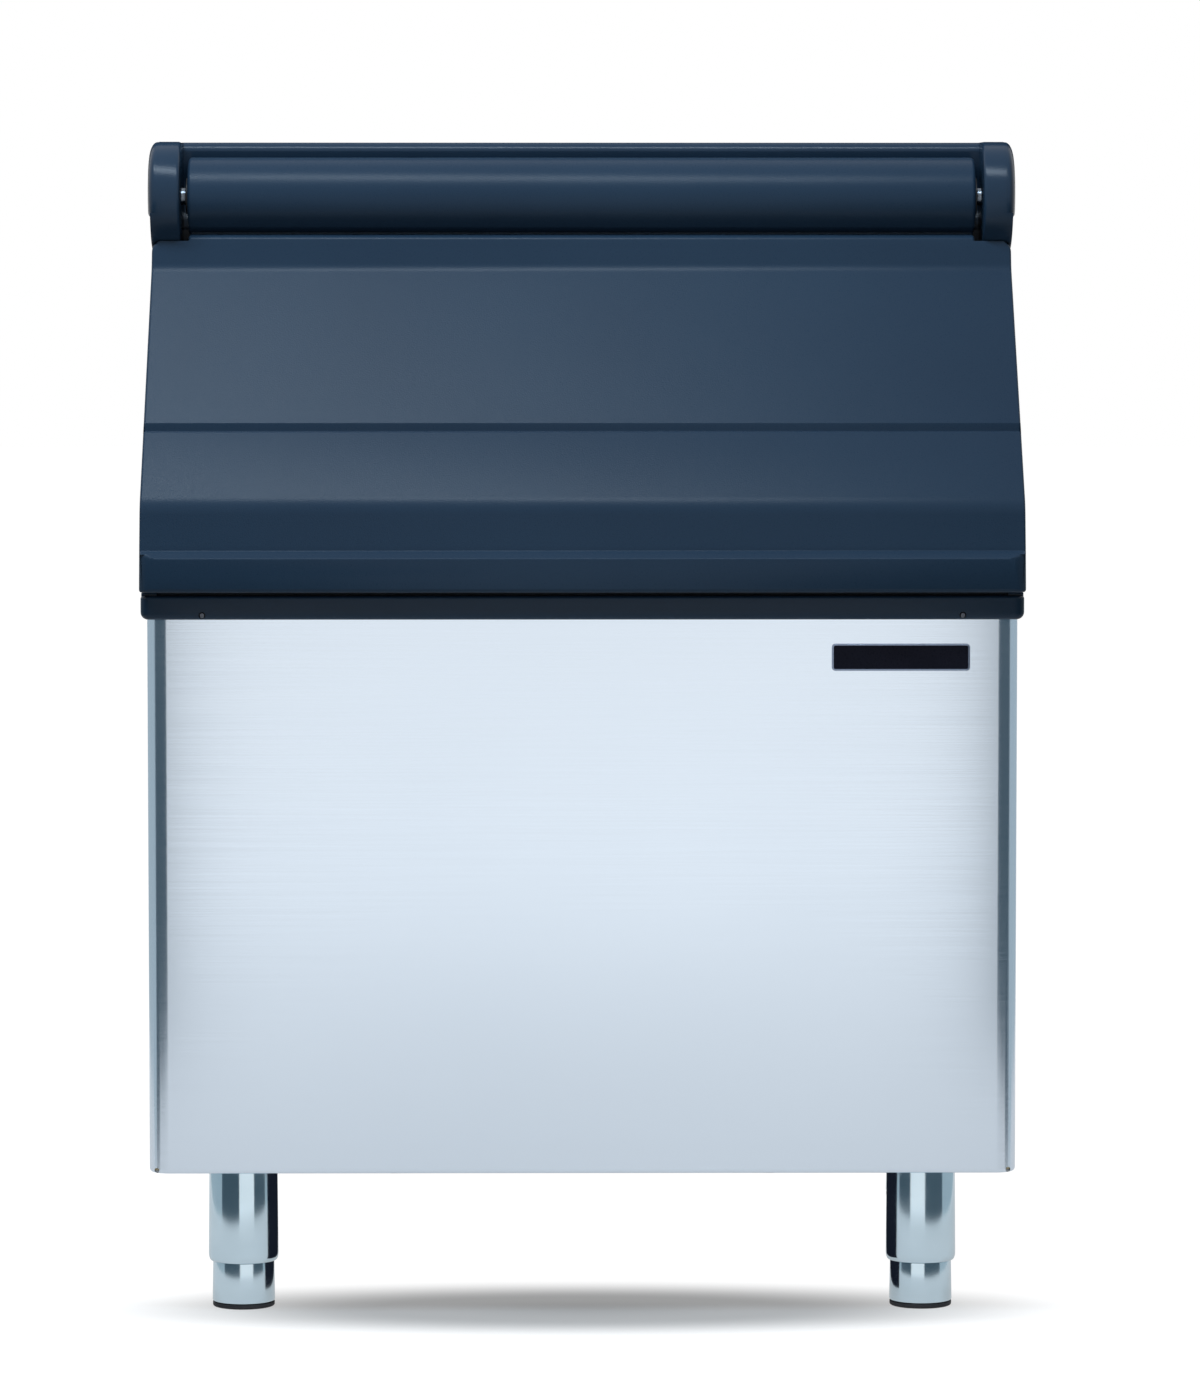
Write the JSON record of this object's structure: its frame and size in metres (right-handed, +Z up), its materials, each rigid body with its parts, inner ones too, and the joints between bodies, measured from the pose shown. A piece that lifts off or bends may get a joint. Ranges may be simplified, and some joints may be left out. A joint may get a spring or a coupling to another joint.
{
  "type": "ice storage bin",
  "caption": "Insulated ice storage bin: stainless cabinet on adjustable legs, moulded top frame open for an ice machine, and a slanted lift-up door with a full-width hinge barrel.",
  "frame": {"origin": "on the floor under the middle of the bin's bounding box", "axes": "+Z up from the feet to the top rim, -Y towards the door, +X to the right of someone who faces the door"},
  "size_m": [0.771, 0.8399, 1.0346],
  "materials": {
    "brushed_stainless": "vertical brushed grain, satin",
    "polished_stainless": "polished",
    "galvanised_steel": "galvanised, matt with spangle",
    "slate_plastic": "moulded, fine pebble grain, dark slate blue",
    "tank_plastic": "smooth off-white food-safe plastic",
    "insulation": "rigid foam, matt",
    "seal_rubber": "matt",
    "black_plastic": "satin",
    "white_plastic": "satin",
    "clear_plastic": "frosted"
  },
  "bodies": {
    "cabinet": {"outer_casing": "brushed_stainless", "back_panel": "galvanised_steel", "base_pan": "galvanised_steel", "insulation_foam": "insulation", "liner": "tank_plastic", "hood_frame": "slate_plastic", "badge_plate": "black_plastic", "left_sill_screw": "polished_stainless", "right_sill_screw": "polished_stainless", "left_hinge_pin": "polished_stainless", "right_hinge_pin": "polished_stainless", "left_baffle_bracket": "white_plastic", "right_baffle_bracket": "white_plastic", "drain_fitting": "white_plastic", "drain_nut": "white_plastic", "drain_strainer": "polished_stainless", "drain_elbow": "white_plastic", "front_left_leg_tube": "polished_stainless", "front_right_leg_tube": "polished_stainless", "rear_left_leg_tube": "polished_stainless", "rear_right_leg_tube": "polished_stainless", "front_left_leg_insert": "black_plastic", "front_right_leg_insert": "black_plastic", "rear_left_leg_insert": "black_plastic", "rear_right_leg_insert": "black_plastic", "front_left_nut_plate": "galvanised_steel", "front_right_nut_plate": "galvanised_steel", "rear_left_nut_plate": "galvanised_steel", "rear_right_nut_plate": "galvanised_steel"},
    "door": {"door_outer_shell": "slate_plastic", "door_inner_shell": "slate_plastic", "door_foam": "insulation", "door_gasket": "seal_rubber", "left_hinge_bush": "black_plastic", "right_hinge_bush": "black_plastic"},
    "baffle": {"ice_baffle": "clear_plastic"},
    "front_left_screw_foot": {"front_left_foot": "polished_stainless", "front_left_foot_pad": "seal_rubber"},
    "front_right_screw_foot": {"front_right_foot": "polished_stainless", "front_right_foot_pad": "seal_rubber"},
    "rear_left_screw_foot": {"rear_left_foot": "polished_stainless", "rear_left_foot_pad": "seal_rubber"},
    "rear_right_screw_foot": {"rear_right_foot": "polished_stainless", "rear_right_foot_pad": "seal_rubber"}
  },
  "joints": [
    {"name": "door_hinge", "type": "hinge", "parent": "cabinet", "child": "door", "pos_m": [0, -0.228, 0.986], "axis": [-1, 0, 0], "range_deg": [0, 155]},
    {"name": "baffle_hinge", "type": "hinge", "parent": "cabinet", "child": "baffle", "pos_m": [0, -0.19, 0.872], "axis": [1, 0, 0], "range_deg": [0, 70]},
    {"name": "front_left_foot_screw", "type": "slide", "parent": "cabinet", "child": "front_left_screw_foot", "axis": [0, 0, -1], "range_m": [0, 0.025]},
    {"name": "front_right_foot_screw", "type": "slide", "parent": "cabinet", "child": "front_right_screw_foot", "axis": [0, 0, -1], "range_m": [0, 0.025]},
    {"name": "rear_left_foot_screw", "type": "slide", "parent": "cabinet", "child": "rear_left_screw_foot", "axis": [0, 0, -1], "range_m": [0, 0.025]},
    {"name": "rear_right_foot_screw", "type": "slide", "parent": "cabinet", "child": "rear_right_screw_foot", "axis": [0, 0, -1], "range_m": [0, 0.025]}
  ]
}
